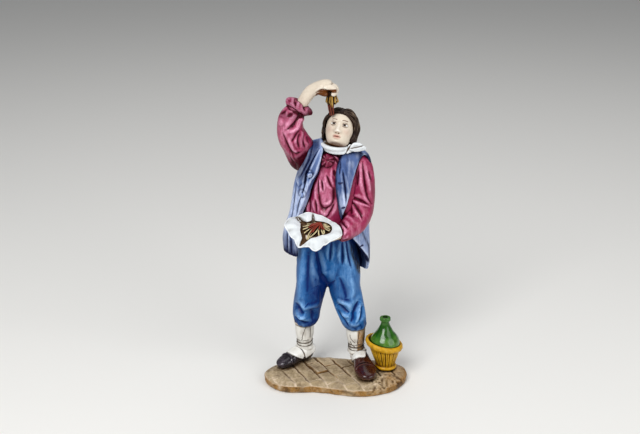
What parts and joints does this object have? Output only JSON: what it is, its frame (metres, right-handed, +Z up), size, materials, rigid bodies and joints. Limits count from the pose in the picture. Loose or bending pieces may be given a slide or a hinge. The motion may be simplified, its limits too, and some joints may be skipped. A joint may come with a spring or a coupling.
{
  "type": "nativity figure",
  "caption": "Painted standing man in country dress lowering spaghetti to his mouth, napkin in the other hand, on a paved base with a wicker-covered wine flask.",
  "frame": {"origin": "middle of the base's flat underside", "axes": "+Z up, the figure's front faces -Y, +X to the viewer's right"},
  "size_m": [0.0538, 0.0299, 0.1141],
  "materials": {
    "base_paint": "satin",
    "figure_paint": "satin",
    "flask_paint": "gloss"
  },
  "bodies": {
    "root": {"base": "base_paint", "figure": "figure_paint", "wine_flask": "flask_paint"}
  },
  "joints": []
}
